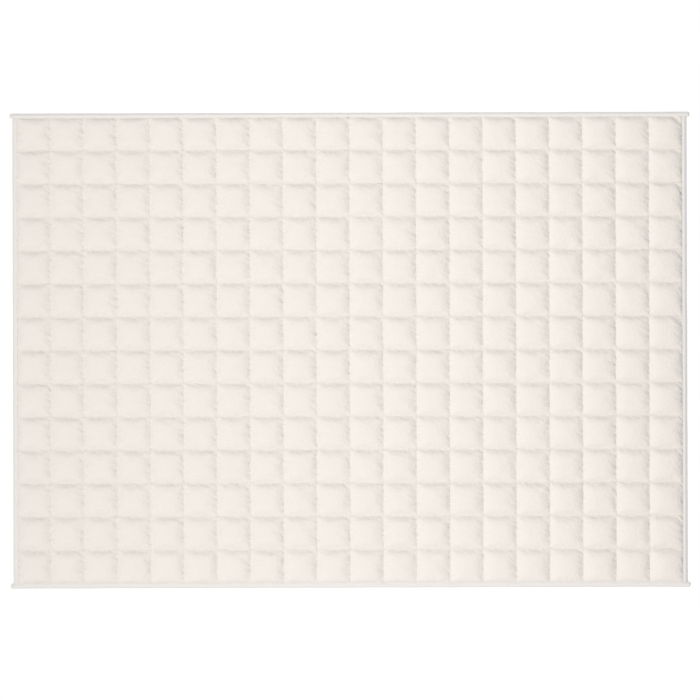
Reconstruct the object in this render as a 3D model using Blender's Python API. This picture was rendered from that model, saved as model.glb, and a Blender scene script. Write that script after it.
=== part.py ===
"""Weighted blanket, 2.20 m by 1.55 m, lying flat with its face up.

Two cotton covers are sewn through to each other along a square grid, which leaves 280 pockets
for the beads and wadding. The filled covers are one solid, because the pockets can't be parted.
Four strips of folded tape bind its edges. The far and the near strip run past the corners.

The frame: X along the length, Y along the width, Z up. The origin is on the surface that the
blanket lies on, under its middle.
"""

import math
import random

import bmesh
import bpy
from mathutils import Matrix, Vector

# Driving dimensions, in metres.
LENGTH = 2.200
WIDTH = 1.550
COLUMNS = 20
ROWS = 14
BINDING_WIDTH = 0.015
OVERRUN = 0.009  # how far the far and the near strip run past each corner
TAPE = 0.0012  # the binding tape, folded double
CLOTH = 0.0024  # both covers and the flattened wadding where they are sewn together
GAP = 0.0003  # between a strip and the cloth that it holds
SEAM_LIFT = 0.004  # the underside of the inner seams above the surface
CROWN = 0.0130  # the top of a pocket above its seams

# The pockets: how far in from the seams each step lies, and its share of the crown.
POCKET_STEPS = (
    {"inset": 0.012, "rise": 0.55},
    {"inset": 0.030, "rise": 0.88},
)
FOOT_INSET = 0.016  # how far in from the seams the flat underside of a pocket starts
FILL_SPREAD = 0.08  # how much the fill of one pocket differs from the next, as a share
CROWN_SHIFT = 0.004  # how far a pocket's highest point may lie from its middle
SEED = 14

# The strips.
OUTER_RADIUS = 0.0024
LIP_RADIUS = 0.0005
OUTER_STEPS = 3

COVER_COLOUR = (0.760, 0.712, 0.666, 1.0)
BINDING_COLOUR = (0.760, 0.732, 0.706, 1.0)

# What follows from them.
PITCH_X = (LENGTH - 2 * BINDING_WIDTH) / COLUMNS
PITCH_Y = (WIDTH - 2 * BINDING_WIDTH) / ROWS
EDGE_LIFT = TAPE + GAP
STRIP_HEIGHT = CLOTH + 2 * (GAP + TAPE)
STRIP_WIDTH = BINDING_WIDTH - GAP
REACH_X = LENGTH / 2 - TAPE - GAP
REACH_Y = WIDTH / 2 - TAPE - GAP


def clear_scene():
    for obj in list(bpy.data.objects):
        bpy.data.objects.remove(obj, do_unlink=True)


def new_collection(name):
    collection = bpy.data.collections.new(name)
    bpy.context.scene.collection.children.link(collection)
    return collection


def cloth_material(name, colour, roughness):
    material = bpy.data.materials.new(name)
    material.use_nodes = True
    shader = material.node_tree.nodes["Principled BSDF"]
    shader.inputs["Base Color"].default_value = colour
    shader.inputs["Roughness"].default_value = roughness
    shader.inputs["Metallic"].default_value = 0.0
    return material


def add_object(name, bm, collection):
    mesh = bpy.data.meshes.new(name)
    bm.to_mesh(mesh)
    bm.free()
    obj = bpy.data.objects.new(name, mesh)
    collection.objects.link(obj)
    return obj


# The quilted body.


def held_within(value, reach):
    return max(-reach, min(reach, value))


def seam_level(x, y):
    """The underside of the cloth at a seam: low along the bound edge, higher inside it."""
    inside_x = abs(x) < (COLUMNS / 2 - 0.5) * PITCH_X
    inside_y = abs(y) < (ROWS / 2 - 0.5) * PITCH_Y
    return SEAM_LIFT if inside_x and inside_y else EDGE_LIFT


def sewn_sheet():
    """Both covers as they meet along the seams, with the rim that goes into the binding."""
    bm = bmesh.new()
    spread = Matrix.Diagonal((COLUMNS / 2 + 1, ROWS / 2 + 1, 1, 1))
    bmesh.ops.create_grid(bm, x_segments=COLUMNS + 2, y_segments=ROWS + 2, size=1, matrix=spread)
    for vert in bm.verts:
        vert.co.x = held_within(vert.co.x * PITCH_X, REACH_X)
        vert.co.y = held_within(vert.co.y * PITCH_Y, REACH_Y)
    bmesh.ops.solidify(bm, geom=bm.faces[:], thickness=CLOTH)
    bmesh.ops.recalc_face_normals(bm, faces=bm.faces[:])
    middle = sum(vert.co.z for vert in bm.verts) / len(bm.verts)
    for vert in bm.verts:
        upper = vert.co.z > middle
        vert.co.z = seam_level(vert.co.x, vert.co.y) + (CLOTH if upper else 0.0)
    bm.normal_update()
    return bm


def pockets(bm, side):
    """The faces of the sheet that lie over a pocket, on its upper or its lower side."""
    found = []
    for face in bm.faces:
        middle = face.calc_center_median()
        over_pocket = abs(middle.x) < COLUMNS / 2 * PITCH_X and abs(middle.y) < ROWS / 2 * PITCH_Y
        if over_pocket and face.normal.z * side > 0.5:
            found.append(face)
    return sorted(found, key=lambda f: (f.calc_center_median().y, f.calc_center_median().x))


def inset(bm, faces, width):
    bmesh.ops.inset_individual(bm, faces=faces, thickness=width, use_even_offset=True)


def raise_crowns(bm, chance):
    """Fill each pocket: the cloth rises from its seams in steps, to one highest point."""
    cells = pockets(bm, side=1)
    fill = [1 + chance.uniform(-FILL_SPREAD, FILL_SPREAD) for _ in cells]
    reached = 0.0
    for step in POCKET_STEPS:
        inset(bm, cells, step["inset"] - reached)
        reached = step["inset"]
        for cell, share in zip(cells, fill):
            for vert in cell.verts:
                vert.co.z = SEAM_LIFT + CLOTH + CROWN * step["rise"] * share
    for cell, share in zip(cells, fill):
        top = bmesh.ops.poke(bm, faces=[cell])["verts"][0]
        shift_x = chance.uniform(-CROWN_SHIFT, CROWN_SHIFT)
        shift_y = chance.uniform(-CROWN_SHIFT, CROWN_SHIFT)
        top.co += Vector((shift_x, shift_y, 0))
        top.co.z = SEAM_LIFT + CLOTH + CROWN * share


def lay_down(bm):
    """The underside of each pocket lies flat on the surface."""
    cells = pockets(bm, side=-1)
    inset(bm, cells, FOOT_INSET)
    for cell in cells:
        for vert in cell.verts:
            vert.co.z = 0.0


def quilted_body(collection):
    bm = sewn_sheet()
    raise_crowns(bm, random.Random(SEED))
    lay_down(bm)
    bmesh.ops.recalc_face_normals(bm, faces=bm.faces[:])
    return add_object("quilted_body", bm, collection)


# The binding.


def box(bm, size, centre):
    place = Matrix.Translation(centre) @ Matrix.Diagonal((*size, 1.0))
    bmesh.ops.create_cube(bm, size=1.0, matrix=place)


def round_edges(bm, edges, radius, steps):
    bmesh.ops.bevel(
        bm, geom=edges, offset=radius, offset_type="OFFSET", segments=steps, profile=0.5, affect="EDGES"
    )


def edges_where(bm, chosen):
    """The edges whose two ends both lie where chosen says."""
    return [edge for edge in bm.edges if all(chosen(vert.co) for vert in edge.verts)]


def folded_strip(name, length, slot_length, collection, cutters):
    """A strip along X whose outer edge is at y = 0, folded round the cloth that comes in from -Y."""
    bm = bmesh.new()
    box(bm, (length, STRIP_WIDTH, STRIP_HEIGHT), (0, -STRIP_WIDTH / 2, STRIP_HEIGHT / 2))
    rounded = set(edges_where(bm, lambda point: point.y > -STRIP_WIDTH / 2))
    if slot_length < length:
        rounded.update(edges_where(bm, lambda point: point.x < 0))
        rounded.update(edges_where(bm, lambda point: point.x > 0))
    round_edges(bm, sorted(rounded, key=lambda edge: edge.index), OUTER_RADIUS, OUTER_STEPS)
    inner_side = edges_where(bm, lambda point: point.y < -STRIP_WIDTH + GAP)
    lips = [edge for edge in inner_side if edge.calc_length() > WIDTH / 2]
    round_edges(bm, lips, LIP_RADIUS, 1)
    strip = add_object(name, bm, collection)

    depth = BINDING_WIDTH - TAPE
    bm = bmesh.new()
    box(bm, (slot_length, depth, CLOTH + 2 * GAP), (0, -TAPE - depth / 2, STRIP_HEIGHT / 2))
    cutter = add_object(f"{name}_slot", bm, cutters)
    cutter.parent = strip
    cutter.hide_render = True
    cutter.display_type = "WIRE"

    cut = strip.modifiers.new("slot", "BOOLEAN")
    cut.operation = "DIFFERENCE"
    cut.object = cutter
    return strip


def binding(collection, cutters):
    """The far and the near strip are closed at their ends. The left and the right one end on them."""
    long_strip = LENGTH + 2 * OVERRUN
    long_slot = LENGTH - 2 * TAPE
    short_strip = WIDTH - 2 * BINDING_WIDTH
    short_slot = short_strip + 2 * BINDING_WIDTH
    sides = (
        ("binding_far", long_strip, long_slot, (0, WIDTH / 2, 0), 0),
        ("binding_near", long_strip, long_slot, (0, -WIDTH / 2, 0), 2),
        ("binding_left", short_strip, short_slot, (-LENGTH / 2, 0, 0), 1),
        ("binding_right", short_strip, short_slot, (LENGTH / 2, 0, 0), 3),
    )
    strips = []
    for name, length, slot_length, place, quarters in sides:
        strip = folded_strip(name, length, slot_length, collection, cutters)
        strip.location = place
        strip.rotation_euler.z = quarters * math.pi / 2
        strips.append(strip)
    return strips


def main():
    clear_scene()
    parts = new_collection("weighted_blanket")
    cutters = new_collection("cutters")
    cover = cloth_material("cover", COVER_COLOUR, 0.85)
    tape = cloth_material("binding", BINDING_COLOUR, 0.75)
    quilted_body(parts).data.materials.append(cover)
    for strip in binding(parts, cutters):
        strip.data.materials.append(tape)


main()
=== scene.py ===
"""The looks of the weighted blanket: filled pockets from a cloth simulation, bound edges,
stitching, cloth materials, a plain studio and the camera that looks straight down on it.

Lengths are metres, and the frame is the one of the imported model: X along the blanket, Y across
it, Z up from the surface that it lies on.
"""

import math

import bmesh
import bpy
import numpy as np
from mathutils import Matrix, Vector


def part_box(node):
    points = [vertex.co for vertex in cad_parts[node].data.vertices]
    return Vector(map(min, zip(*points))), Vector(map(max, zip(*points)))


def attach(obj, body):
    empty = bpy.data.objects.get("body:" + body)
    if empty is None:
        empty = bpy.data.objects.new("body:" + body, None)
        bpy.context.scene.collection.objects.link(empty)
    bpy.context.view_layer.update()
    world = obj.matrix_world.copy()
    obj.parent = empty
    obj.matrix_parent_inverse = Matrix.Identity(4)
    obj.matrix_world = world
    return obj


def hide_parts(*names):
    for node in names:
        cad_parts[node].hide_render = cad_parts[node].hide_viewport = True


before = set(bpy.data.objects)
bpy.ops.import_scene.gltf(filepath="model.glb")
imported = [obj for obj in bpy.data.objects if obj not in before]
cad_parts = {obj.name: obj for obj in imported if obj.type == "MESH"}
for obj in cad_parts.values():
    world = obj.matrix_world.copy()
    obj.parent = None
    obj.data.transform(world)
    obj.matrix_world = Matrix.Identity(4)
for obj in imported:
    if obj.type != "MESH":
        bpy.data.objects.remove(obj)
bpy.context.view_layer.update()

# The blanket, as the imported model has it: its pockets, the tape, the sewn cloth, the gap between
# them, and how high the underside of the inner seams and of the bound edge lies.
COLUMNS = 20
ROWS = 14
BINDING_WIDTH = 0.015
TAPE = 0.0012
CLOTH = 0.0024
GAP = 0.0003
SEAM_LIFT = 0.004
EDGE_LIFT = TAPE + GAP
STRIP_HEIGHT = CLOTH + 2 * (GAP + TAPE)
STRIP_WIDTH = BINDING_WIDTH - GAP
BODY_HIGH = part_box("quilted_body")[1]
LENGTH = 2 * (BODY_HIGH[0] + TAPE + GAP)
WIDTH = 2 * (BODY_HIGH[1] + TAPE + GAP)
LONG_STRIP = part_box("binding_far")[1][0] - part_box("binding_far")[0][0]
SHORT_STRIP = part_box("binding_left")[1][1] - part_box("binding_left")[0][1]
PITCH_X = (LENGTH - 2 * BINDING_WIDTH) / COLUMNS
PITCH_Y = (WIDTH - 2 * BINDING_WIDTH) / ROWS
LATTICE_X = COLUMNS * PITCH_X / 2
LATTICE_Y = ROWS * PITCH_Y / 2

# The seams: half the width of the sewn channel, on the face and on the underside, and how far
# the seams along X lie from an even spacing between the bindings.
CHANNEL = 0.0013
UNDER_CHANNEL = 0.015
ROW_SHIFT = 0.0036

# How the seams stray from straight lines, as waves: height, radians a metre along X and along Y,
# and phase.
STRAY_IN_X = ((0.0004, 0, 37, 1.3), (0.0004, 9, 197, 0))
STRAY_IN_Y = ((0.0004, 31, 0, 0.4), (0.0003, 183, 7, 0))

# The mesh of the quilt's face: steps across one pocket, and how far they gather at its seams.
TOP_STEPS = 18
TOP_GATHER = (0.4, 0.2)

# The cloth simulation of the pockets: the sample, how rough it starts, how much longer than its
# seams the cloth is, and how far a point may move.
SAMPLE_COLUMNS = 10
SAMPLE_ROWS = 7
START_NOISE = 0.0003
SPARE_CLOTH = 0.04
PRESSURE = 3.0
FRAMES = 25
MOVE_CAP = 0.008
EPSILON = 1e-6

# How much of the simulated unevenness the face takes, how much of it the left-hand and near sides
# of a pocket take, and how far from a seam it may push points sideways in full.
PUCKER_GAIN = 0.38
CALM = 0.35
STRAIGHT_SEAM = 0.009

# The mean shape of a pocket: a tube along Y, round across X and pinched by the seams along X, and
# a shoulder that rises from all four seams. A PINCH and a WIDTH are the lengths over which the tube
# and the shoulder reach their height, FAR_FLAT is how far the cloth lies flat before the seam on
# the far side, MITRE sharpens the shoulder's corners, and FILL_SPREAD is how much the fill of one
# pocket differs from the next, as a share.
CROWN = 0.007
ROUNDNESS = 2.3
PINCH_NEAR = 0.019
PINCH_FAR = 0.0175
SHOULDER = 0.0068
SIDE_WIDTH = 0.0195
NEAR_WIDTH = 0.019
FAR_WIDTH = 0.0135
FAR_FLAT = 0.0037
MITRE = 8
MITRE_START = 1e-4
FILL_SPREAD = 0.06
CREASE_ANGLE = math.radians(60)

# The small folds that the sewing gathers beside each seam, for seams along X, seams along Y and
# the right-hand binding, which pulls slanting ones into the cloth: their length from crest to
# crest, their height and how far from the seam they reach. A lean is how far they run along the
# seam for each metre away from it.
GATHER = {"x": 0.030, "y": 0.022, "edge": 0.016}
GATHER_HEIGHT = {"x": 0.0006, "y": 0.0012, "edge": 0.0014}
GATHER_REACH = {"x": 0.009, "y": 0.009, "edge": 0.014}
GATHER_LEAN = 0.4
EDGE_GATHER_LEAN = 1.0
FLAT_AT_SEAM = 0.003

# The far right-hand corners of the pockets, where the cloth is pulled flat: how far along the two
# seams, and how much of the height goes, for most pockets and for those beside the binding. Each
# is a range, and where a depth comes out below 0 that corner isn't pulled flat.
CUT_REACH = (0.006, 0.016)
CUT_DEPTH = (-0.8, 0.4)
EDGE_CUT_REACH = (0.022, 0.038)
EDGE_CUT_DEPTH = (0.5, 0.85)
CUT_EDGE = 0.0014

# How far the cloth is pressed down beside the right-hand binding, and over what width.
EDGE_DIP = 0.0008
EDGE_DIP_WIDTH = 0.004

# The binding tape: its section, as distances in from the outer edge and heights. RIM_IN is where
# the cloth ends inside it.
RIM_IN = 0.0052
SLOT_END = RIM_IN - GAP
UNDER_IN = 0.0030
UNDER_STEPS = 3
OUTER_HEIGHT = 0.0016
OUTER_ROUND = 1.1
OUTER_STEPS = 8
RIDGE_IN = 0.0088
STITCH_IN = 0.0124

# How high each strip's ridge, stitch line and lip stand. The right-hand one is rolled outward.
TAPE_HEIGHTS = {
    "far": {"ridge": 0.0065, "stitch": 0.0057, "lip": 0.0063},
    "near": {"ridge": 0.0066, "stitch": 0.0050, "lip": 0.0049},
    "left": {"ridge": 0.0066, "stitch": 0.0050, "lip": 0.0054},
    "right": {"ridge": 0.0061, "stitch": 0.0057, "lip": 0.0066},
}

# The tape's upper face from the ridge over the stitch line to the lip: distances in from the outer
# edge, and the shares that the three heights have there.
INNER_SLOPE = (
    {"inset": 0.0102, "ridge": 0.75, "stitch": 0.25, "lip": 0},
    {"inset": 0.0114, "ridge": 0.3, "stitch": 0.7, "lip": 0},
    {"inset": STITCH_IN, "ridge": 0, "stitch": 1, "lip": 0},
    {"inset": 0.0132, "ridge": 0, "stitch": 0.25, "lip": 0.75},
    {"inset": STRIP_WIDTH - 0.0006, "ridge": 0, "stitch": 0, "lip": 1},
)

# The rounded lip of the tape's lower layer: distances out from its edge, and heights. LIP_DROP and
# LIP_BACK round the lip of the upper layer.
LOWER_LIP = (
    {"back": 0.0003, "height": TAPE},
    {"back": 0, "height": 0.0008},
    {"back": 0.0003, "height": 0.0002},
    {"back": 0.0010, "height": 0},
)
LIP_DROP = 0.0004
LIP_BACK = 0.0003

# Along a strip: the spacing of the sections, then the ripple beside the stitch line, the swell of
# the upper face and the wander of the outer edge, each with its length from crest to crest, its
# height and how far it reaches. FOLD_WIDTH is how far in from its fold the tape has painted shade.
TAPE_STEP = 0.004
RIPPLE = {"length": 0.017, "height": 0.0005, "reach": 0.004}
SWELL = {"length": 0.09, "height": 0.0004}
EDGE_WANDER = {"length": 0.21, "height": 0.0005, "reach": 0.008}
TAPE_CREASE_ANGLE = math.radians(50)
FOLD_WIDTH = 0.003

# The round nubs at the ends of the far and the near strip: the sections added there, how long the
# rounding is and how much it takes, and how the slot closes: over what length, and how deep it
# stays.
NUB_SECTIONS = (0.0004, 0.0012, 0.0024)
NUB_LENGTH = 0.0045
NUB_TAPER = 0.8
SLOT_FADE = 0.002
SLOT_LEFT = 0.001

# The sewing: the pitch and size of a stitch, how deep its tips dive and how high its middle lies,
# in thread widths, its sides on the face and on the back, and how far from a nub's end it starts.
STITCH_PITCH = 0.004
STITCH_LENGTH = 0.0034
THREAD = 0.0007
STITCH_DIVE = 0.6
STITCH_RISE = 0.2
FACE_SIDES = 6
BACK_SIDES = 4
NUB_CLEAR = 0.006

# The lengths of the waves that add up to an uneven ripple, as shares of its mean length.
WAVE_LENGTHS = (0.61, 0.83, 1.0, 1.37, 1.9)

SEED = 14


def clamp01(values):
    return np.clip(values, 0.0, 1.0)


def waves(places, length, chance):
    """An uneven ripple along a line, about length long from crest to crest and 1 high at most."""
    total = np.zeros_like(places)
    for share in WAVE_LENGTHS:
        phase = chance.uniform(0, 2 * math.pi)
        total += np.sin(2 * math.pi * places / (length * share) + phase)
    return total / len(WAVE_LENGTHS)


# The quilt.


def face_shares():
    """The places of the face's lines across one pocket, as shares of its pitch: the seam, then
    from the edge of its channel to the edge of the next in steps that are finer near the seams."""
    inner = np.linspace(0, 1, TOP_STEPS - 1)
    turn = 2 * math.pi * inner
    inner -= (TOP_GATHER[0] * np.sin(turn) + TOP_GATHER[1] * np.sin(2 * turn) / 2) / (2 * math.pi)
    channel = CHANNEL / PITCH_X
    return np.concatenate([[0], channel + (1 - 2 * channel) * inner])


def under_shares():
    """The same for the underside: the seam, the two edges of the flat foot and its middle."""
    channel = UNDER_CHANNEL / PITCH_X
    return np.array([0, channel, 0.5, 1 - channel])


def repeated(count, shares):
    """The lines across a row of pockets: where each lies, in pockets, and its share."""
    place = (np.arange(count)[:, np.newaxis] + shares).ravel()
    return np.append(place, count), np.append(np.tile(shares, count), 0.0)


def seam_distance(share_x, share_y):
    """How far each point of a grid lies from the nearest seam, measured along X and along Y."""
    across, up = np.meshgrid(share_x, share_y)
    return np.minimum(across, 1 - across) * PITCH_X, np.minimum(up, 1 - up) * PITCH_Y


def by_pocket(values):
    """One value a pocket, spread over the points of the face."""
    rows = np.minimum(np.arange(ROWS * TOP_STEPS + 1) // TOP_STEPS, ROWS - 1)
    columns = np.minimum(np.arange(COLUMNS * TOP_STEPS + 1) // TOP_STEPS, COLUMNS - 1)
    return values[np.ix_(rows, columns)]


def corner_cut(share_x, share_y, chance):
    """How much of a pocket's height is left beside its far right-hand corner."""
    reach = chance.uniform(*CUT_REACH, (ROWS, COLUMNS))
    depth = clamp01(chance.uniform(*CUT_DEPTH, (ROWS, COLUMNS)))
    reach[:, -1] = chance.uniform(*EDGE_CUT_REACH, ROWS)
    depth[:, -1] = chance.uniform(*EDGE_CUT_DEPTH, ROWS)
    across, up = np.meshgrid(share_x, share_y)
    away = (1 - across) * PITCH_X + (1 - up) * PITCH_Y
    cut = 1 / (1 + np.exp((away - by_pocket(reach)) / CUT_EDGE))
    return 1 - by_pocket(depth) * cut


def crown(share_x, share_y, far_flat=FAR_FLAT):
    """How high the filled cloth stands above its seams, over a grid of shares of a pocket."""
    across, up = np.meshgrid(share_x, share_y)
    beside = np.maximum(np.minimum(across, 1 - across) * PITCH_X - CHANNEL, 0)
    to_near = np.maximum(up * PITCH_Y - CHANNEL, 0)
    to_far = np.maximum((1 - up) * PITCH_Y - far_flat, 0)
    ends = np.tanh(to_near / PINCH_NEAR) * np.tanh(to_far / PINCH_FAR)
    tube = (1 - np.abs(2 * across - 1) ** ROUNDNESS) * ends
    inward = sum(
        (far / width + MITRE_START) ** -MITRE
        for far, width in ((beside, SIDE_WIDTH), (to_near, NEAR_WIDTH), (to_far, FAR_WIDTH))
    )
    return CROWN * tube + SHOULDER * np.tanh(inward ** (-1 / MITRE) - MITRE_START)


def grid_faces(rows, columns, first=0, upward=True):
    """The faces of a grid of points, which are numbered row by row from first."""
    index = first + np.arange(rows * columns).reshape(rows, columns)
    corners = [index[:-1, :-1], index[:-1, 1:], index[1:, 1:], index[1:, :-1]]
    if not upward:
        corners.reverse()
    return np.stack(corners, axis=-1).reshape(-1, 4)


def new_mesh_object(name, points, faces):
    """A mesh object in the scene. A face is a list of the numbers of its points."""
    mesh = bpy.data.meshes.new(name)
    mesh.from_pydata(points.reshape(-1, 3).tolist(), [], [list(face) for face in faces])
    mesh.update()
    obj = bpy.data.objects.new(name, mesh)
    bpy.context.scene.collection.objects.link(obj)
    return obj


def close_piece(obj, crease_angle, material):
    """Joins the open rims of an object, if it has any, turns its faces outward, smooths them up
    to an angle and gives them their material."""
    bm = bmesh.new()
    bm.from_mesh(obj.data)
    rims = [edge for edge in bm.edges if edge.is_boundary]
    if rims:
        bmesh.ops.bridge_loops(bm, edges=rims)
    bmesh.ops.recalc_face_normals(bm, faces=bm.faces[:])
    bm.to_mesh(obj.data)
    bm.free()
    obj.data.shade_smooth()
    obj.data.set_sharp_from_angle(angle=crease_angle)
    obj.data.materials.append(material)


def evaluated_points(obj):
    """The points of an object as its modifiers leave them."""
    graph = bpy.context.evaluated_depsgraph_get()
    mesh = obj.evaluated_get(graph).to_mesh()
    flat = np.empty(len(mesh.vertices) * 3, np.float32)
    mesh.vertices.foreach_get("co", flat)
    obj.evaluated_get(graph).to_mesh_clear()
    return flat.reshape(-1, 3).astype(float)


def add_cloth(obj):
    """Makes an object a cloth that pressure fills, held by the points of its group of seams."""
    cloth = obj.modifiers.new("cloth", "CLOTH")
    settings = cloth.settings
    settings.vertex_group_mass = "seams"
    settings.quality = 5
    settings.mass = 0.3
    settings.tension_stiffness = 15
    settings.compression_stiffness = 15
    settings.shear_stiffness = 5
    settings.bending_stiffness = 0.05
    settings.air_damping = 2
    settings.use_pressure = True
    settings.uniform_pressure_force = PRESSURE
    settings.shrink_min = -SPARE_CLOTH
    settings.effector_weights.gravity = 0
    cloth.collision_settings.use_collision = False
    cloth.collision_settings.use_self_collision = False
    cloth.point_cache.frame_start = 1
    cloth.point_cache.frame_end = FRAMES + 1


def simulated_sample():
    """Cloth held along its seams and pushed up from below: how far each point comes to lie
    from the crown's mean shape."""
    place_x, share_x = repeated(SAMPLE_COLUMNS, face_shares())
    place_y, share_y = repeated(SAMPLE_ROWS, face_shares())
    x, y = np.meshgrid(place_x * PITCH_X, place_y * PITCH_Y)
    seam = np.minimum(*seam_distance(share_x, share_y)) < EPSILON
    chance = np.random.default_rng(SEED)
    rough = np.where(seam, 0, chance.normal(0, START_NOISE, x.shape))
    start = np.stack([x, y, crown(share_x, share_y) + rough], axis=-1)

    sheet = new_mesh_object("sample", start, grid_faces(*x.shape))
    group = sheet.vertex_groups.new(name="seams")
    group.add(np.nonzero(seam.ravel())[0].tolist(), 1.0, "REPLACE")
    add_cloth(sheet)
    for number in range(1, FRAMES + 1):
        bpy.context.scene.frame_set(number)
    moved = evaluated_points(sheet).reshape(start.shape) - start
    bpy.data.objects.remove(sheet)
    bpy.context.scene.frame_set(1)
    moved[..., 2] += rough
    far = np.linalg.norm(moved, axis=-1, keepdims=True)
    return moved * np.minimum(1, MOVE_CAP / np.maximum(far, EPSILON))


def pocket_of(field, column, row):
    """The part of a grid of points that belongs to one pocket, its seams included."""
    low_x, low_y = column * TOP_STEPS, row * TOP_STEPS
    return field[low_y : low_y + TOP_STEPS + 1, low_x : low_x + TOP_STEPS + 1]


def lively(share_x, share_y):
    """How much of the unevenness each point takes: all of it on the right-hand and far sides of a
    pocket, where the filling is pushed, and CALM of it at the other two seams."""
    across, up = np.meshgrid(share_x, share_y)
    return CALM + (1 - CALM) * clamp01(2 * np.minimum(across, up))


def puckers(chance):
    """How each point of the face departs from the mean pocket. Each simulated pocket is used four
    times, once as it is and otherwise mirrored along X, along Y or both, in a shuffled order."""
    sample = simulated_sample()
    pockets = [pocket_of(sample, c, r) for c in range(SAMPLE_COLUMNS) for r in range(SAMPLE_ROWS)]
    mean = sum(pockets) / len(pockets)
    whole = np.zeros((ROWS * TOP_STEPS + 1, COLUMNS * TOP_STEPS + 1, 3))
    order = chance.permutation(COLUMNS * ROWS)
    for number, use in enumerate(order):
        pocket = pockets[use // 4] - mean
        if use % 4 in (1, 3):
            pocket = pocket[:, ::-1] * (-1, 1, 1)
        if use % 4 in (2, 3):
            pocket = pocket[::-1, :] * (1, -1, 1)
        pocket_of(whole, number % COLUMNS, number // COLUMNS)[...] = pocket
    shares = [repeated(count, face_shares())[1] for count in (COLUMNS, ROWS)]
    far = np.minimum(*seam_distance(*shares))
    whole[..., :2] *= (1 - np.exp(-far / STRAIGHT_SEAM))[..., np.newaxis]
    return whole * PUCKER_GAIN * lively(*shares)[..., np.newaxis]


def gathers(x, y, share_x, share_y, chance):
    """How much the folds beside the seams lift the face. Each side of a seam has its own."""
    lift = np.zeros_like(x)
    far_x, far_y = seam_distance(share_x, share_y)
    for axis, along, far, count in (("x", x, far_y, ROWS), ("y", y, far_x, COLUMNS)):
        for number in range(2 * count):
            low = number * TOP_STEPS // 2
            half = slice(low, low + TOP_STEPS // 2)
            part = (half, slice(None)) if axis == "x" else (slice(None), half)
            kind, lean = axis, chance.uniform(-GATHER_LEAN, GATHER_LEAN)
            if axis == "y" and number == 2 * count - 1:
                kind, lean = "edge", EDGE_GATHER_LEAN
            folds = waves(along[part] - lean * far[part], GATHER[kind], chance)
            lift[part] += GATHER_HEIGHT[kind] * folds * np.exp(-far[part] / GATHER_REACH[kind])
    flat_at_seam = 1 - np.exp(-np.minimum(far_x, far_y) / FLAT_AT_SEAM)
    return lift * flat_at_seam * lively(share_x, share_y)


def seam_level(x, y):
    """The underside of the cloth along the seams: lower along the bound edges."""
    inner_x = (LATTICE_X - np.abs(x)) / PITCH_X
    inner_y = (LATTICE_Y - np.abs(y)) / PITCH_Y
    share = clamp01(np.minimum(inner_x, inner_y))
    return EDGE_LIFT + (SEAM_LIFT - EDGE_LIFT) * share


def wander(x, y):
    """How far the cloth lies from an even lattice of straight seams, in X and Y. At the bindings
    it doesn't."""
    stray_x, stray_y = (
        sum(height * np.sin(x * per_x + y * per_y + phase) for height, per_x, per_y, phase in table)
        for table in (STRAY_IN_X, STRAY_IN_Y)
    )
    fade_x = clamp01((LATTICE_X - np.abs(x)) / PITCH_X)
    fade_y = clamp01((LATTICE_Y - np.abs(y)) / PITCH_Y)
    return stray_x * fade_x, (ROW_SHIFT + stray_y) * fade_y


def with_rim(points, level):
    """Adds the rim that goes into the binding round a grid of points."""
    rows, columns, _ = points.shape
    whole = np.zeros((rows + 2, columns + 2, 3))
    whole[1:-1, 1:-1] = points
    whole[0, 1:-1], whole[-1, 1:-1] = points[0], points[-1]
    whole[:, 0], whole[:, -1] = whole[:, 1], whole[:, -2]
    rim_x, rim_y = LENGTH / 2 - RIM_IN, WIDTH / 2 - RIM_IN
    whole[:, 0, 0], whole[:, -1, 0] = -rim_x, rim_x
    whole[0, :, 1], whole[-1, :, 1] = -rim_y, rim_y
    for line in (whole[0], whole[-1], whole[:, 0], whole[:, -1]):
        line[:, 2] = level
    return whole


def top_points(chance):
    """The points of the face, with its rim."""
    place_x, share_x = repeated(COLUMNS, face_shares())
    place_y, share_y = repeated(ROWS, face_shares())
    x, y = np.meshgrid(place_x * PITCH_X - LATTICE_X, place_y * PITCH_Y - LATTICE_Y)
    stray_x, stray_y = wander(x, y)
    # Beside the far binding no cloth lies flat: it rises right from the channel.
    far_flat = np.full((ROWS, COLUMNS), FAR_FLAT)
    far_flat[-1] = CHANNEL
    filled = crown(share_x, share_y, by_pocket(far_flat)) * corner_cut(share_x, share_y, chance)
    folds = gathers(x, y, share_x, share_y, chance)
    pushed = puckers(chance)
    filled *= by_pocket(1 + chance.uniform(-FILL_SPREAD, FILL_SPREAD, (ROWS, COLUMNS)))
    height = seam_level(x, y) + CLOTH + filled + folds
    height -= EDGE_DIP * np.exp((x - LATTICE_X) / EDGE_DIP_WIDTH)
    points = np.stack([x + stray_x, y + stray_y, height], axis=-1) + pushed
    return with_rim(points, EDGE_LIFT + CLOTH)


def under_points():
    """The points of the underside, with its rim: flat on the surface but for the seams."""
    place_x, share_x = repeated(COLUMNS, under_shares())
    place_y, share_y = repeated(ROWS, under_shares())
    x, y = np.meshgrid(place_x * PITCH_X - LATTICE_X, place_y * PITCH_Y - LATTICE_Y)
    far_x, far_y = seam_distance(share_x, share_y)
    near = np.minimum(far_x, far_y)
    stray_x, stray_y = wander(x, y)
    z = seam_level(x, y) * clamp01(1 - near / UNDER_CHANNEL)
    return with_rim(np.stack([x + stray_x, y + stray_y, z], axis=-1), EDGE_LIFT)


def quilt(material):
    """The quilted body: the face and the underside, joined round their rim."""
    chance = np.random.default_rng(SEED)
    top = top_points(chance)
    under = under_points()
    count = top.shape[0] * top.shape[1]
    faces = np.concatenate(
        [grid_faces(*top.shape[:2]), grid_faces(*under.shape[:2], first=count, upward=False)]
    )
    points = np.concatenate([top.reshape(-1, 3), under.reshape(-1, 3)])
    obj = new_mesh_object("quilt", points, faces)
    close_piece(obj, CREASE_ANGLE, material)
    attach(obj, "root")
    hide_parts("quilted_body")


# The binding.


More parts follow.
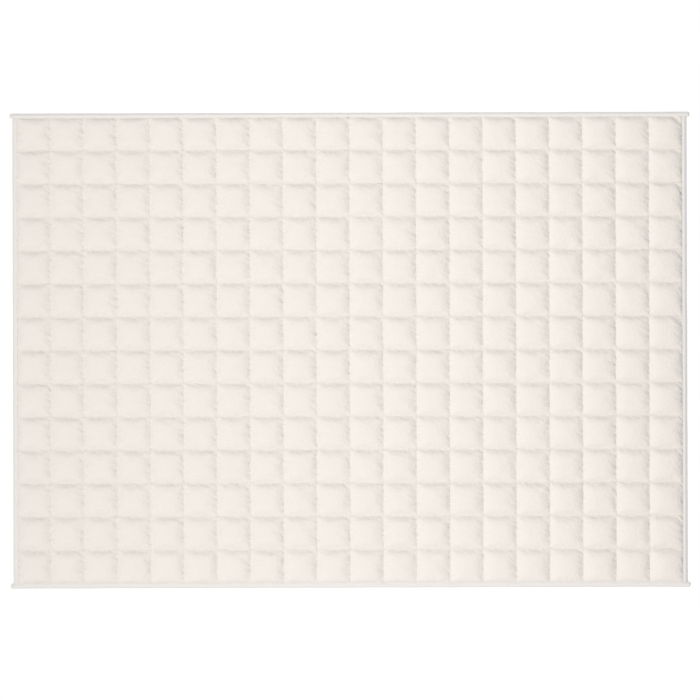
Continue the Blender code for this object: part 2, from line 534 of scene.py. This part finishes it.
def tape_section(name):
    """The section of the folded tape, all the way round from the top of its slot's inner end:
    distances in from the outer edge, heights, and whether each point belongs to the slot and
    to the upper face."""
    heights = TAPE_HEIGHTS[name]
    slot_top = STRIP_HEIGHT - TAPE
    rows = [(SLOT_END, slot_top, 1, 0), (SLOT_END, TAPE, 1, 0)]
    for point in LOWER_LIP:
        rows.append((STRIP_WIDTH - point["back"], point["height"], 0, 0))
    rows.append((UNDER_IN, 0, 0, 0))
    for step in range(1, UNDER_STEPS + 1):
        turn = math.pi / 2 * step / UNDER_STEPS
        rows.append((UNDER_IN * (1 - math.sin(turn)), OUTER_HEIGHT * (1 - math.cos(turn)), 0, 0))
    for step in range(1, OUTER_STEPS + 1):
        share = step / OUTER_STEPS
        rise = (1 - (1 - share) ** OUTER_ROUND) ** (1 / OUTER_ROUND)
        height = OUTER_HEIGHT + (heights["ridge"] - OUTER_HEIGHT) * rise
        rows.append((RIDGE_IN * share, height, 0, 1))
    for point in INNER_SLOPE:
        height = sum(point[part] * heights[part] for part in heights)
        rows.append((point["inset"], height, 0, 1))
    rows.append((STRIP_WIDTH, heights["lip"] - LIP_DROP, 0, 1))
    rows.append((STRIP_WIDTH - LIP_BACK, slot_top, 0, 0))
    return np.array(rows)


def strip_lines(length, nubs):
    """The places of a strip's sections along it, closer together in its nubs."""
    along = np.linspace(-length / 2, length / 2, int(length / TAPE_STEP) + 1)
    if nubs:
        outer = length / 2 - np.array(NUB_SECTIONS)
        along = np.sort(np.concatenate([along, -outer, outer]))
    return along


def closed_ends(length, along, inset, z, slot):
    """A strip's sections with the slot closed and the ends rounded off."""
    past = clamp01((np.abs(along) - LENGTH / 2 + SLOT_END) / SLOT_FADE)[:, np.newaxis]
    inset = inset + past * slot * (STRIP_WIDTH - SLOT_LEFT - inset)
    round_off = clamp01(1 - (length / 2 - np.abs(along)) / NUB_LENGTH)
    shrink = np.sqrt(1 - NUB_TAPER * round_off**2)[:, np.newaxis]
    return STRIP_WIDTH / 2 + (inset - STRIP_WIDTH / 2) * shrink, z * shrink


def tube_faces(rows, columns):
    """The faces of a tube with a cap at each end: rows of points along it, columns round it."""
    index = np.arange(rows * columns).reshape(rows, columns)
    after = np.roll(index, -1, axis=1)
    tube = np.stack([index[:-1], after[:-1], after[1:], index[1:]], axis=-1).reshape(-1, 4)
    return [*tube, index[0, ::-1], index[-1]]


def strip(name, length, side, material, nubs):
    """One strip of binding. side turns a place along it and a distance in from the edge into X
    and Y. The ends are round nubs where nubs is true, and cut straight where it isn't. Gives
    the height of the stitch line: places along it and heights there."""
    chance = np.random.default_rng(SEED + len(name))
    along = strip_lines(length, nubs)
    from_edge, height, slot, upper = tape_section(name).T
    ripple = waves(along, RIPPLE["length"], chance)[:, np.newaxis] * RIPPLE["height"]
    swell = waves(along, SWELL["length"], chance)[:, np.newaxis] * SWELL["height"]
    stray = waves(along, EDGE_WANDER["length"], chance)[:, np.newaxis] * EDGE_WANDER["height"]
    near_stitch = np.exp(-(((from_edge - STITCH_IN) / RIPPLE["reach"]) ** 2))
    z = height + upper * (ripple * near_stitch + swell)
    inset = from_edge + stray * clamp01(1 - from_edge / EDGE_WANDER["reach"]) * (1 - slot)

    from_fold = inset
    if nubs:
        from_fold = np.minimum(from_fold, (length / 2 - np.abs(along))[:, np.newaxis])
        inset, z = closed_ends(length, along, inset, z, slot)
    x, y = side(along[:, np.newaxis], inset)
    points = np.stack(np.broadcast_arrays(x, y, z), axis=-1)

    obj = new_mesh_object(f"tape_{name}", points, tube_faces(*z.shape))
    close_piece(obj, TAPE_CREASE_ANGLE, material)
    # The fold attribute is the mask of the painted shade near the tape's outer fold.
    fold = obj.data.attributes.new("fold", "FLOAT", "POINT")
    fold.data.foreach_set("value", np.exp(-from_fold / FOLD_WIDTH).ravel())
    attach(obj, "root")
    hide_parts(f"binding_{name}")
    return along, z[:, np.flatnonzero(from_edge == STITCH_IN)[0]]


# Where a place along a strip and a distance in from its outer edge lie, in X and Y.


def far_side(along, inset):
    return along, WIDTH / 2 - inset


def near_side(along, inset):
    return along, inset - WIDTH / 2


def left_side(along, inset):
    return inset - LENGTH / 2, along


def right_side(along, inset):
    return LENGTH / 2 - inset, along


# The strips: the name, the length, the side that it binds, and whether it ends in nubs.
SIDES = (
    ("far", LONG_STRIP, far_side, True),
    ("near", LONG_STRIP, near_side, True),
    ("left", SHORT_STRIP, left_side, False),
    ("right", SHORT_STRIP, right_side, False),
)


def binding(material):
    """The four strips. Gives the stitch line of each by its name."""
    return {name: strip(name, length, side, material, nubs) for name, length, side, nubs in SIDES}


# The sewing.


def stitch_shape(sides):
    """One stitch along X: two tips that dive into the cloth and a ring round its middle."""
    turn = 2 * math.pi * (np.arange(sides) + 0.5) / sides
    ring = np.stack([0 * turn, np.cos(turn), np.sin(turn)], axis=-1) * THREAD / 2
    dive = -THREAD * STITCH_DIVE
    tips = np.array([(-STITCH_LENGTH / 2, 0, dive), (STITCH_LENGTH / 2, 0, dive)])
    points = np.concatenate([tips, ring])
    faces = []
    for number in range(sides):
        here, there = 2 + number, 2 + (number + 1) % sides
        faces += [(0, there, here), (1, here, there)]
    return points, np.array(faces)


def stitches(start, end, count, level, sides, above):
    """Stitches from start to end, each turned along the line. level gives the cloth's X, Y and Z
    for a place on the straight line. above is 1 on the face and -1 on the back."""
    shape, faces = stitch_shape(sides)
    start, end = np.array(start), np.array(end)
    share = (np.arange(count) + 0.5) / count
    middle = start + (end - start) * share[:, np.newaxis]
    along = (end - start) / np.linalg.norm(end - start)
    across = np.array([-along[1], along[0]])
    x = middle[:, :1] + shape[:, 0] * along[0] + shape[:, 1] * across[0]
    y = middle[:, 1:] + shape[:, 0] * along[1] + shape[:, 1] * across[1]
    base_x, base_y, base_z = level(middle[:, 0], middle[:, 1])
    x = x + (base_x - middle[:, 0])[:, np.newaxis]
    y = y + (base_y - middle[:, 1])[:, np.newaxis]
    z = base_z[:, np.newaxis] + above * (shape[:, 2] + THREAD * STITCH_RISE)
    points = np.stack([x, y, z], axis=-1).reshape(-1, 3)
    faces = faces if above > 0 else faces[:, ::-1]
    first = np.arange(count)[:, np.newaxis, np.newaxis] * len(shape)
    return points, (faces + first).reshape(-1, 3)


def on_back(x, y):
    """Where a place on a straight seam lies on the back of the cloth."""
    stray_x, stray_y = wander(x, y)
    return x + stray_x, y + stray_y, seam_level(x, y)


def on_face(x, y):
    """The same, on its face."""
    x, y, z = on_back(x, y)
    return x, y, z + CLOTH


def on_tape(line, lengthwise):
    """The level of a strip's stitches, which follow the line that the strip gives."""

    def level(x, y):
        return x, y, np.interp(x if lengthwise else y, *line)

    return level


def thread_piece(name, runs, material):
    """One piece of all the stitches of the runs."""
    points, faces, first = [], [], 0
    for run_points, run_faces in runs:
        points.append(run_points)
        faces.append(run_faces + first)
        first += len(run_points)
    obj = new_mesh_object(name, np.concatenate(points), np.concatenate(faces))
    obj.data.shade_smooth()
    obj.data.materials.append(material)
    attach(obj, "root")


def sewing(material, tape_lines):
    """The stitches of the seams, on the face and on the back, and those of the binding."""
    lengthwise, crosswise = [], []
    for level, sides, above in ((on_face, FACE_SIDES, 1), (on_back, BACK_SIDES, -1)):
        count = round(2 * LATTICE_X / STITCH_PITCH)
        for row in range(1, ROWS):
            y = row * PITCH_Y - LATTICE_Y
            ends = (-LATTICE_X, y), (LATTICE_X, y)
            lengthwise.append(stitches(*ends, count, level, sides, above))
        count = round(2 * LATTICE_Y / STITCH_PITCH)
        for column in range(1, COLUMNS):
            x = column * PITCH_X - LATTICE_X
            ends = (x, -LATTICE_Y), (x, LATTICE_Y)
            crosswise.append(stitches(*ends, count, level, sides, above))
    thread_piece("thread_lengthwise", lengthwise, material)
    thread_piece("thread_crosswise", crosswise, material)

    edges = []
    for name, length, side, nubs in SIDES:
        reach = length / 2 - (NUB_CLEAR if nubs else 0)
        ends = side(-reach, STITCH_IN), side(reach, STITCH_IN)
        level = on_tape(tape_lines[name], lengthwise=nubs)
        edges.append(stitches(*ends, round(2 * reach / STITCH_PITCH), level, FACE_SIDES, 1))
    thread_piece("thread_binding", edges, material)


# The materials.

# The cover: its colour, the repeat and height of its weave, and the features a metre of its slubs
# and its paler and darker patches, with how much each changes the shade. Painted shade darkens
# the cloth along the seams along X and beside the right-hand binding, where it lies deep: how wide
# and how much.
COVER_COLOUR = (0.76, 0.7125, 0.666)
WEAVE = 0.0007
WEAVE_HEIGHT = 0.00006
SLUBS = (40, 900, 40)
SLUB_SHADE = 0.03
PATCHES = (9, 9, 9)
PATCH_SHADE = 0.03
SEAM_WIDTH = 0.003
SEAM_PAINTED_SHADE = 0.065
LIP_WIDTH = 0.003
LIP_PAINTED_SHADE = 0.2

# The finest folds of the cover, which are bump: how many a metre along X, Y and Z, how far they
# run down for each metre to the right, and their height. Then how far they reach from a seam: the
# left-hand side of the seams along Y, both sides of those, the near side of the seams along X, and
# the right-hand binding, beside it and below each seam.
FOLDS_DETAIL = 0.6
SIDE_FOLDS = {"scale": (24, 66, 24), "slant": 0.4, "height": 0.0062}
SEAM_FOLDS = {"scale": (70, 130, 70), "slant": 0, "height": 0.005}
FAR_FOLDS = {"scale": (62, 62, 62), "slant": 0.3, "height": 0.0038}
EDGE_FOLDS = {"scale": (14, 50, 14), "slant": 0.8, "height": 0.014}
CRINKLES = {"scale": (130, 110, 130), "slant": 0, "height": 0.0013}
SIDE_FOLDS_REACH = 0.022
SEAM_FOLDS_REACH = 0.006
FAR_FOLDS_REACH = 0.012
EDGE_FOLDS_BESIDE = 0.014
EDGE_FOLDS_BELOW = 0.045

# The tape: its twill's repeat and height, and how strongly the second diagonal shows.
TAPE_COLOUR = (0.76, 0.7325, 0.706)
TWILL = 0.0012
TWILL_HEIGHT = 0.00006
SECOND_DIAGONAL = 0.4
TAPE_PATCHES = (60, 60, 60)
TAPE_PATCH_SHADE = 0.05
# How much the painted shade darkens the tape at its fold.
FOLD_PAINTED_SHADE = 0.12

# The thread: the repeat and height of its twist.
THREAD_COLOUR = (0.80, 0.765, 0.73)
TWIST = 0.0009
TWIST_HEIGHT = 0.00005
THREAD_PATCHES = (200, 200, 200)
THREAD_PATCH_SHADE = 0.06

# The floor, which also glows a little, so that it stays paler than the blanket.
FLOOR_COLOUR = (0.82, 0.82, 0.82)
FLOOR_GRAIN = (4, 4, 4)
FLOOR_SHADE = 0.01
FLOOR_GLOW = 0.09

# How rough each material is, the strength of its sheen, and how strongly it reflects. The spread
# is how much the roughness strays.
FINISH = {
    "cover": {"roughness": 0.85, "sheen": 0.15, "specular": 0.2},
    "tape": {"roughness": 0.8, "sheen": 0.1, "specular": 0.25},
    "thread": {"roughness": 0.55, "sheen": 0.1, "specular": 0.4},
    "floor": {"roughness": 0.9, "sheen": 0, "specular": 0.2},
}
ROUGHNESS_SPREAD = 0.1
SHEEN_ROUGHNESS = 0.5


class Nodes:
    """Builds a material's nodes: a method adds what it is named for, and gives back its output
    or sets the shader."""

    def __init__(self, name):
        self.material = bpy.data.materials.new(name)
        self.material.use_nodes = True
        self.tree = self.material.node_tree
        self.shader = self.tree.nodes["Principled BSDF"]
        self.split = self.tree.nodes.new("ShaderNodeSeparateXYZ")
        place = self.tree.nodes.new("ShaderNodeTexCoord").outputs["Object"]
        self.put(self.split.inputs[0], place)

    def put(self, socket, value):
        if isinstance(value, bpy.types.NodeSocket):
            self.tree.links.new(value, socket)
        else:
            socket.default_value = value

    def math(self, operation, first, second=0.0, third=0.0):
        node = self.tree.nodes.new("ShaderNodeMath")
        node.operation = operation
        for socket, value in zip(node.inputs, (first, second, third)):
            self.put(socket, value)
        return node.outputs[0]

    def axes(self):
        return self.split.outputs[0], self.split.outputs[1]

    def attribute(self, name):
        node = self.tree.nodes.new("ShaderNodeAttribute")
        node.attribute_name = name
        return node.outputs["Fac"]

    def noise(self, scale, detail=2.0, slant=0.0):
        """Noise of value -0.5 to 0.5, with scale features a metre along X, Y and Z. Where it is
        slanted, its features run down by slant for each metre to the right."""
        x, y, z = self.split.outputs
        place = self.tree.nodes.new("ShaderNodeCombineXYZ")
        leaning = self.math("MULTIPLY_ADD", x, slant, y)
        for socket, value, factor in zip(place.inputs, (x, leaning, z), scale):
            self.put(socket, self.math("MULTIPLY", value, factor))
        texture = self.tree.nodes.new("ShaderNodeTexNoise")
        texture.inputs["Scale"].default_value = 1
        texture.inputs["Detail"].default_value = detail
        self.put(texture.inputs["Vector"], place.outputs[0])
        return self.math("SUBTRACT", texture.outputs[0], 0.5)

    def colour(self, base, share):
        """The base colour, made lighter or darker by share."""
        node = self.tree.nodes.new("ShaderNodeHueSaturation")
        node.inputs["Color"].default_value = (*base, 1)
        self.put(node.inputs["Value"], self.math("ADD", share, 1))
        self.put(self.shader.inputs["Base Color"], node.outputs[0])

    def bump(self, height, distance):
        node = self.tree.nodes.new("ShaderNodeBump")
        node.inputs["Distance"].default_value = distance
        self.put(node.inputs["Height"], height)
        self.put(self.shader.inputs["Normal"], node.outputs[0])

    def finish(self, noise, roughness, sheen, specular):
        """The roughness, which strays with a noise, the sheen and the gloss."""
        rough = self.math("MULTIPLY_ADD", noise, ROUGHNESS_SPREAD, roughness)
        self.put(self.shader.inputs["Roughness"], rough)
        self.shader.inputs["Sheen Weight"].default_value = sheen
        self.shader.inputs["Sheen Roughness"].default_value = SHEEN_ROUGHNESS
        self.shader.inputs["Specular IOR Level"].default_value = specular


def sine(nodes, value, period):
    return nodes.math("SINE", nodes.math("MULTIPLY", value, 2 * math.pi / period))


def near_seam(nodes, place, reach, pitch, width):
    """1 on the seams that cross an axis, fading over width."""
    far = nodes.math("PINGPONG", nodes.math("ADD", place, reach), pitch / 2)
    return nodes.math("EXPONENT", nodes.math("MULTIPLY", far, -1 / width))


def before_seam(nodes, place, reach, pitch, width):
    """The same, but only on the side of each seam where place is less."""
    past = nodes.math("MODULO", nodes.math("ADD", place, reach), pitch)
    return nodes.math("EXPONENT", nodes.math("MULTIPLY_ADD", past, 1 / width, -pitch / width))


def cover_relief(nodes, x, y):
    """The height of the cover's weave and of its finest folds."""
    weave = nodes.math("MULTIPLY", sine(nodes, x, WEAVE), sine(nodes, y, WEAVE))
    height = nodes.math("MULTIPLY", weave, WEAVE_HEIGHT)
    for folds, share in (
        (SIDE_FOLDS, before_seam(nodes, x, LATTICE_X, PITCH_X, SIDE_FOLDS_REACH)),
        (SEAM_FOLDS, near_seam(nodes, x, LATTICE_X, PITCH_X, SEAM_FOLDS_REACH)),
        (FAR_FOLDS, before_seam(nodes, y, LATTICE_Y, PITCH_Y, FAR_FOLDS_REACH)),
        (CRINKLES, 1.0),
    ):
        noise = nodes.noise(folds["scale"], FOLDS_DETAIL, folds["slant"])
        there = nodes.math("MULTIPLY", noise, share)
        height = nodes.math("MULTIPLY_ADD", there, folds["height"], height)
    noise = nodes.noise(EDGE_FOLDS["scale"], FOLDS_DETAIL, EDGE_FOLDS["slant"])
    creases = nodes.math("ABSOLUTE", noise)
    beside = before_seam(nodes, x, LATTICE_X, 2 * LATTICE_X, EDGE_FOLDS_BESIDE)
    below = before_seam(nodes, y, LATTICE_Y, PITCH_Y, EDGE_FOLDS_BELOW)
    there = nodes.math("MULTIPLY", creases, nodes.math("MULTIPLY", beside, below))
    return nodes.math("MULTIPLY_ADD", there, EDGE_FOLDS["height"], height)


def cover_material():
    """A plain weave with slubs, its finest folds as bump, and painted shade where it lies deep."""
    nodes = Nodes("cover")
    x, y = nodes.axes()
    nodes.bump(cover_relief(nodes, x, y), distance=1)
    slubs = nodes.noise(SLUBS, detail=3.0)
    patches = nodes.noise(PATCHES, detail=3.0)
    shade = nodes.math("MULTIPLY", slubs, SLUB_SHADE)
    shade = nodes.math("MULTIPLY_ADD", patches, PATCH_SHADE, shade)
    # Painted shade along the seams along X, where the cloth lies deep.
    seam = near_seam(nodes, nodes.math("SUBTRACT", y, ROW_SHIFT), LATTICE_Y, PITCH_Y, SEAM_WIDTH)
    shade = nodes.math("MULTIPLY_ADD", seam, -SEAM_PAINTED_SHADE, shade)
    # Painted shade beside the right-hand binding, where the cloth lies deep.
    lip = before_seam(nodes, x, LATTICE_X, 2 * LATTICE_X, LIP_WIDTH)
    shade = nodes.math("MULTIPLY_ADD", lip, -LIP_PAINTED_SHADE, shade)
    nodes.colour(COVER_COLOUR, shade)
    nodes.finish(slubs, **FINISH["cover"])
    return nodes.material


def tape_material():
    """A fine twill, with painted shade at its fold."""
    nodes = Nodes("tape")
    x, y = nodes.axes()
    diagonal = sine(nodes, nodes.math("ADD", x, y), TWILL)
    other = sine(nodes, nodes.math("SUBTRACT", x, y), TWILL)
    nodes.bump(nodes.math("MULTIPLY_ADD", other, SECOND_DIAGONAL, diagonal), TWILL_HEIGHT)
    patches = nodes.noise(TAPE_PATCHES, detail=3.0)
    # Painted shade near the fold, then paler and darker patches.
    shade = nodes.math("MULTIPLY", nodes.attribute("fold"), -FOLD_PAINTED_SHADE)
    shade = nodes.math("MULTIPLY_ADD", patches, TAPE_PATCH_SHADE, shade)
    nodes.colour(TAPE_COLOUR, shade)
    nodes.finish(patches, **FINISH["tape"])
    return nodes.material


def thread_material():
    """A twisted thread, glossier than the cloth."""
    nodes = Nodes("thread")
    x, y = nodes.axes()
    nodes.bump(sine(nodes, nodes.math("ADD", x, y), TWIST), TWIST_HEIGHT)
    patches = nodes.noise(THREAD_PATCHES)
    nodes.colour(THREAD_COLOUR, nodes.math("MULTIPLY", patches, THREAD_PATCH_SHADE))
    nodes.finish(patches, **FINISH["thread"])
    return nodes.material


def floor_material():
    """A plain, pale surface."""
    nodes = Nodes("floor")
    grain = nodes.noise(FLOOR_GRAIN, detail=4.0)
    nodes.colour(FLOOR_COLOUR, nodes.math("MULTIPLY", grain, FLOOR_SHADE))
    nodes.finish(grain, **FINISH["floor"])
    nodes.shader.inputs["Emission Color"].default_value = (1, 1, 1, 1)
    nodes.shader.inputs["Emission Strength"].default_value = FLOOR_GLOW
    return nodes.material


# The studio.

# The floor, as large as the view from any side needs, and just under the blanket.
FLOOR_SIZE = 40
FLOOR_DROP = 0.0002

# The lights. A share is about the brightness that a light gives a white face that looks up, before
# LIGHT_LEVEL scales them all. OVERHEAD_GAIN would be 2 under an endless softbox.
LIGHT_LEVEL = 1.175
KEY_SHARE = 0.33
TOWARD_KEY = Vector((-0.50, -0.30, 1))
KEY_PLACE = 5 * TOWARD_KEY
KEY_SPREAD = math.radians(20)
OVERHEAD_SHARE = 0.4
OVERHEAD_HEIGHT = 3.3
OVERHEAD_WIDTH = 0.8
OVERHEAD_LENGTH = 9.0
OVERHEAD_GAIN = 2.32
WORLD_SHARE = 0.29

# The camera: the picture's width in pixels and metres a pixel at the height of the binding, the
# lens and sensor in millimetres, how far the blanket is turned in the picture, and how far the
# middle of the view lies toward the far edge.
IMAGE_PIXELS = 700
PIXEL = 0.003262
LENS = 100
SENSOR = 36
ROLL = math.radians(0.165)
VIEW_SHIFT = 0.0006


def floor():
    bpy.ops.mesh.primitive_plane_add(size=FLOOR_SIZE, location=(0, 0, -FLOOR_DROP))
    obj = bpy.context.object
    obj.name = "floor"
    obj.data.materials.append(floor_material())


def add_light(name, kind, place, energy):
    light = bpy.data.lights.new(name, kind)
    light.energy = energy
    obj = bpy.data.objects.new(name, light)
    obj.location = place
    bpy.context.scene.collection.objects.link(obj)
    return obj


def lights():
    """A broad key from the lower left, a long softbox overhead and even light all round."""
    energy = LIGHT_LEVEL * KEY_SHARE * math.pi * TOWARD_KEY.length
    key = add_light("key", "SUN", KEY_PLACE, energy)
    key.rotation_euler = TOWARD_KEY.to_track_quat("Z", "Y").to_euler()
    key.data.angle = KEY_SPREAD

    energy = LIGHT_LEVEL * OVERHEAD_SHARE * OVERHEAD_GAIN * math.pi * OVERHEAD_HEIGHT * OVERHEAD_LENGTH
    overhead = add_light("overhead", "AREA", (0, 0, OVERHEAD_HEIGHT), energy)
    overhead.data.shape = "RECTANGLE"
    overhead.data.size = OVERHEAD_WIDTH
    overhead.data.size_y = OVERHEAD_LENGTH

    world = bpy.data.worlds.new("studio")
    bpy.context.scene.world = world
    world.use_nodes = True
    background = world.node_tree.nodes["Background"]
    background.inputs["Color"].default_value = (1, 1, 1, 1)
    background.inputs["Strength"].default_value = LIGHT_LEVEL * WORLD_SHARE


def camera():
    """A camera that looks straight down, with the picture's turn and scale."""
    data = bpy.data.cameras.new("camera")
    data.lens = LENS
    data.sensor_width = SENSOR
    obj = bpy.data.objects.new("camera", data)
    height = IMAGE_PIXELS * PIXEL * LENS / SENSOR
    obj.location = (0, VIEW_SHIFT, height + STRIP_HEIGHT)
    obj.rotation_euler.z = -ROLL
    bpy.context.scene.collection.objects.link(obj)
    bpy.context.scene.camera = obj
    bpy.context.scene.view_settings.view_transform = "Standard"


def main():
    camera()
    floor()
    lights()
    quilt(cover_material())
    tape_lines = binding(tape_material())
    sewing(thread_material(), tape_lines)


main()
